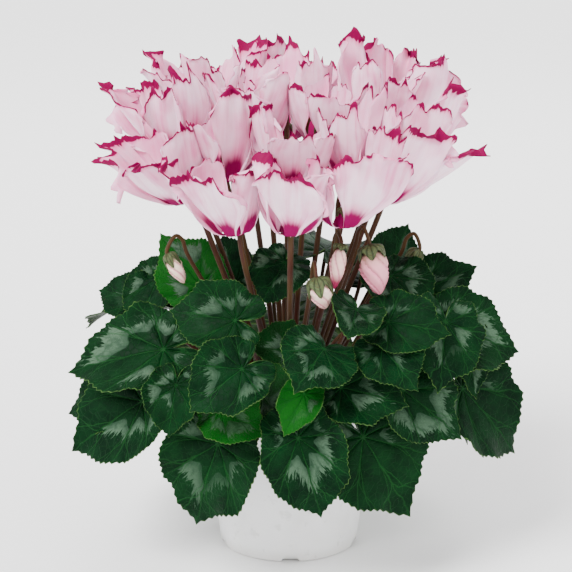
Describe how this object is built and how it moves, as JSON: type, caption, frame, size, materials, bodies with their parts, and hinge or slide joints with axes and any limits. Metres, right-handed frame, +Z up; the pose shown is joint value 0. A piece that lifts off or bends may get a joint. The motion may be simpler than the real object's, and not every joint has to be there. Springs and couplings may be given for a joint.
{
  "type": "potted cyclamen",
  "caption": "Potted florist's cyclamen: a tapered plastic pot, a mound of marbled heart-shaped leaves and a full head of nodding flowers with frilled, swept-up petals on bare stalks.",
  "frame": {"origin": "centre of the pot's flat underside, on the surface that the pot stands on", "axes": "+Z up along the pot's axis, -Y towards the side that the picture shows, +X to the right as seen from that side"},
  "size_m": [0.3202, 0.3046, 0.3623],
  "materials": {
    "pot_plastic": "satin",
    "soil": "matte",
    "stalk": "satin",
    "leaf": "satin",
    "petal": "matte",
    "bud": "matte"
  },
  "bodies": {
    "root": {"bloom_01": "petal", "bloom_02": "petal", "bloom_03": "petal", "bloom_04": "petal", "bloom_05": "petal", "bloom_06": "petal", "bloom_07": "petal", "bloom_08": "petal", "bloom_09": "petal", "bloom_10": "petal", "bloom_11": "petal", "bloom_12": "petal", "bloom_13": "petal", "bloom_14": "petal", "bloom_15": "petal", "bloom_16": "petal", "bloom_17": "petal", "bloom_18": "petal", "bud_hanging": "bud", "bud_left": "bud", "bud_middle": "bud", "bud_right_pink": "bud", "bud_right_small": "bud", "leaf_front_left": "leaf", "leaf_front_middle": "leaf", "leaf_front_right": "leaf", "leaf_left_back": "leaf", "leaf_left_bowl": "leaf", "leaf_left_large": "leaf", "leaf_left_shield": "leaf", "leaf_left_small": "leaf", "leaf_left_upright": "leaf", "leaf_low_edge": "leaf", "leaf_middle_bowl": "leaf", "leaf_middle_heart": "leaf", "leaf_middle_right": "leaf", "leaf_middle_upper": "leaf", "leaf_middle_young": "leaf", "leaf_rear_low_3": "leaf", "leaf_rear_mid_3": "leaf", "leaf_right_dark": "leaf", "leaf_right_low": "leaf", "leaf_right_low_2": "leaf", "leaf_right_round": "leaf", "leaf_right_upper": "leaf", "leaf_right_wavy": "leaf", "leaves_left_far": "leaf", "leaves_left_low": "leaf", "leaves_middle": "leaf", "leaves_rear_high_1": "leaf", "leaves_rear_high_2": "leaf", "leaves_rear_low_1": "leaf", "leaves_rear_low_2": "leaf", "leaves_rear_mid_1": "leaf", "leaves_rear_mid_2": "leaf", "leaves_right_back": "leaf", "leaves_right_large": "leaf", "pot": "pot_plastic", "soil": "soil", "tuber_and_stalks": "stalk"}
  },
  "joints": []
}
